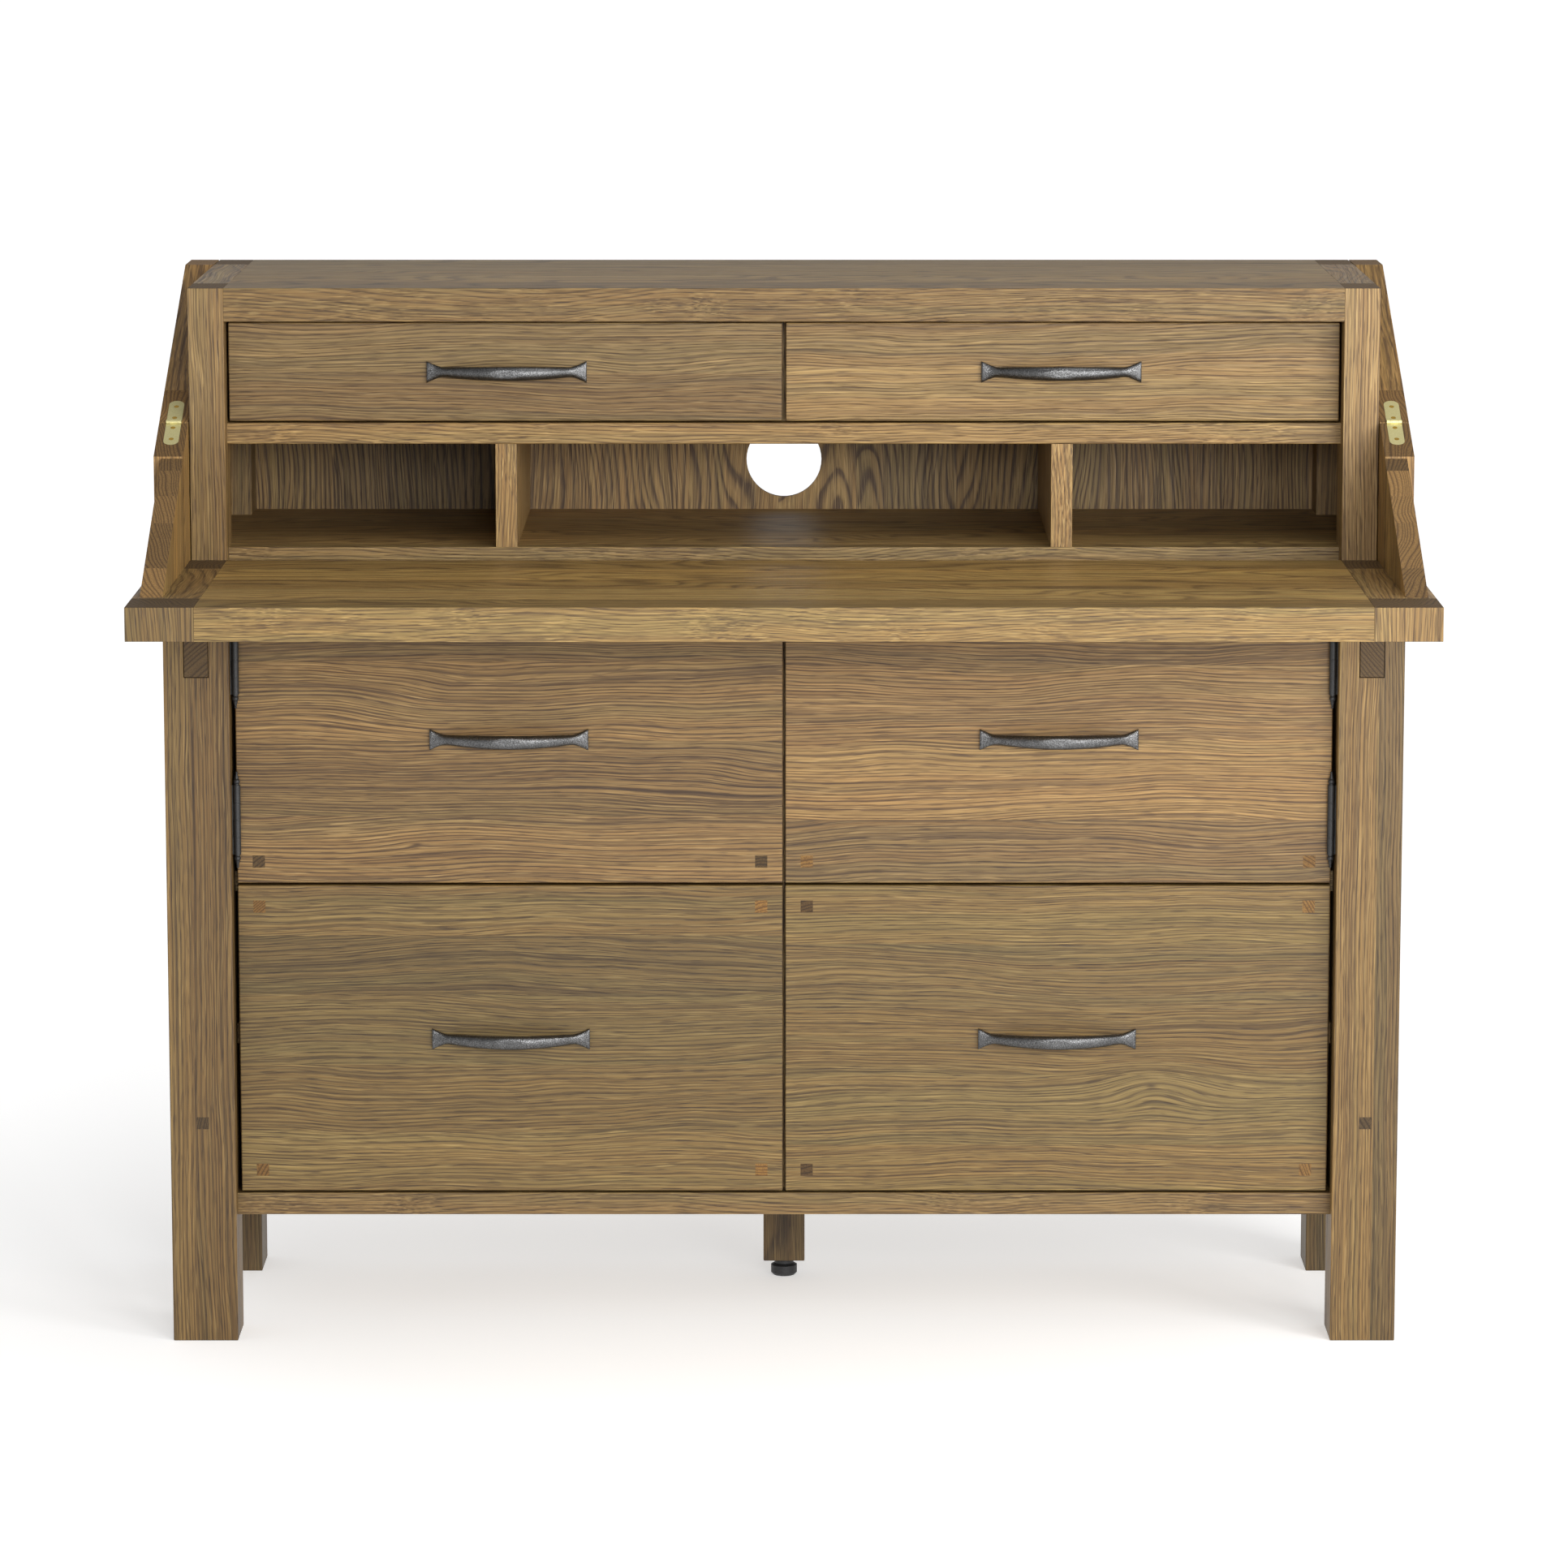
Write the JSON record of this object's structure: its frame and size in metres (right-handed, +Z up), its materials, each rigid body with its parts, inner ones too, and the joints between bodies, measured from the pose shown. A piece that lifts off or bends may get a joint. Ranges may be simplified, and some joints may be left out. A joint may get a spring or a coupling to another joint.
{
  "type": "secretary desk",
  "caption": "Solid-wood secretary desk: cupboards and file drawers below, a hutch with cubbies, and a writing top that flips over on brass hinges.",
  "frame": {"origin": "on the floor, midway across the width and midway through the depth with the top open", "axes": "+X to the right as seen by the sitter, along the width; +Y to the back; +Z up"},
  "size_m": [1.2, 0.7, 1.035],
  "materials": {
    "oak": "oiled golden-brown oak",
    "oak_end_grain": "oiled end grain",
    "oak_inside": "lightly oiled",
    "brass": "satin",
    "black_steel": "satin black",
    "pewter_pull": "antique pewter",
    "black_plastic": "matt"
  },
  "bodies": {
    "cabinet": {"leg_front_left": "oak", "leg_front_right": "oak", "rear_legs": "oak", "leg_pegs": "oak_end_grain", "base_side_frames": "oak", "base_inner_sides": "oak_inside", "base_bottom_board": "oak", "base_back_panel": "oak_inside", "base_partition": "oak_inside", "base_mid_shelves": "oak_inside", "deck_board": "oak", "center_leg": "oak", "loper_guides": "oak_inside", "drawer_runners": "oak_inside", "door_catches": "black_plastic", "hutch_posts": "oak", "hutch_side_panels": "oak", "hutch_top": "oak", "hutch_shelf": "oak", "hutch_floor": "oak", "hutch_dividers": "oak", "hutch_back_panel": "oak", "wing_stiles": "oak", "wing_rails": "oak", "wing_panels": "oak", "flap_hinge_fixed_leaves": "brass", "flap_hinge_fixed_screws": "brass", "door_hinge_fixed_leaves": "black_steel"},
    "flip_top": {"worktop_panel": "oak", "worktop_end_rails": "oak", "worktop_corner_blocks": "oak", "top_wing_stiles": "oak", "top_wing_panels": "oak", "flap_hinge_moving_leaves": "brass", "flap_hinge_moving_screws": "brass"},
    "hutch_drawer_left": {"hutch_drawer_front_left": "oak", "hutch_drawer_box_left": "oak_inside", "hutch_drawer_pull_left": "pewter_pull"},
    "door_left": {"door_left": "oak", "door_pegs_left": "oak_end_grain", "door_hinge_leaves_left": "black_steel", "door_pull_left": "pewter_pull"},
    "file_drawer_left": {"file_drawer_front_left": "oak", "file_drawer_pegs_left": "oak_end_grain", "file_drawer_box_left": "oak_inside", "file_drawer_pull_left": "pewter_pull"},
    "loper_left": {"loper_left": "oak"},
    "hutch_drawer_right": {"hutch_drawer_front_right": "oak", "hutch_drawer_box_right": "oak_inside", "hutch_drawer_pull_right": "pewter_pull"},
    "door_right": {"door_right": "oak", "door_pegs_right": "oak_end_grain", "door_hinge_leaves_right": "black_steel", "door_pull_right": "pewter_pull"},
    "file_drawer_right": {"file_drawer_front_right": "oak", "file_drawer_pegs_right": "oak_end_grain", "file_drawer_box_right": "oak_inside", "file_drawer_pull_right": "pewter_pull"},
    "loper_right": {"loper_right": "oak"},
    "glide": {"levelling_glide": "black_plastic"}
  },
  "joints": [
    {"name": "flip_top_hinge", "type": "hinge", "parent": "cabinet", "child": "flip_top", "pos_m": [0, -0.0045, 0.90662], "axis": [-1, 0, 0], "range_deg": [0, 180]},
    {"name": "hutch_drawer_left_slide", "type": "slide", "parent": "cabinet", "child": "hutch_drawer_left", "axis": [0, -1, 0], "range_m": [0, 0.2]},
    {"name": "door_left_hinge", "type": "hinge", "parent": "cabinet", "child": "door_left", "pos_m": [-0.5317, 0.01, 0.5955], "axis": [0, 0, -1], "range_deg": [0, 90]},
    {"name": "file_drawer_left_slide", "type": "slide", "parent": "cabinet", "child": "file_drawer_left", "axis": [0, -1, 0], "range_m": [0, 0.24]},
    {"name": "loper_left_slide", "type": "slide", "parent": "cabinet", "child": "loper_left", "axis": [0, -1, 0], "range_m": [0, 0.2]},
    {"name": "hutch_drawer_right_slide", "type": "slide", "parent": "cabinet", "child": "hutch_drawer_right", "axis": [0, -1, 0], "range_m": [0, 0.2]},
    {"name": "door_right_hinge", "type": "hinge", "parent": "cabinet", "child": "door_right", "pos_m": [0.5317, 0.01, 0.5955], "axis": [0, 0, 1], "range_deg": [0, 90]},
    {"name": "file_drawer_right_slide", "type": "slide", "parent": "cabinet", "child": "file_drawer_right", "axis": [0, -1, 0], "range_m": [0, 0.24]},
    {"name": "loper_right_slide", "type": "slide", "parent": "cabinet", "child": "loper_right", "axis": [0, -1, 0], "range_m": [0, 0.2]},
    {"name": "glide_turn", "type": "hinge", "parent": "cabinet", "child": "glide", "pos_m": [0, 0.274, 0], "axis": [0, 0, 1], "continuous": true}
  ]
}
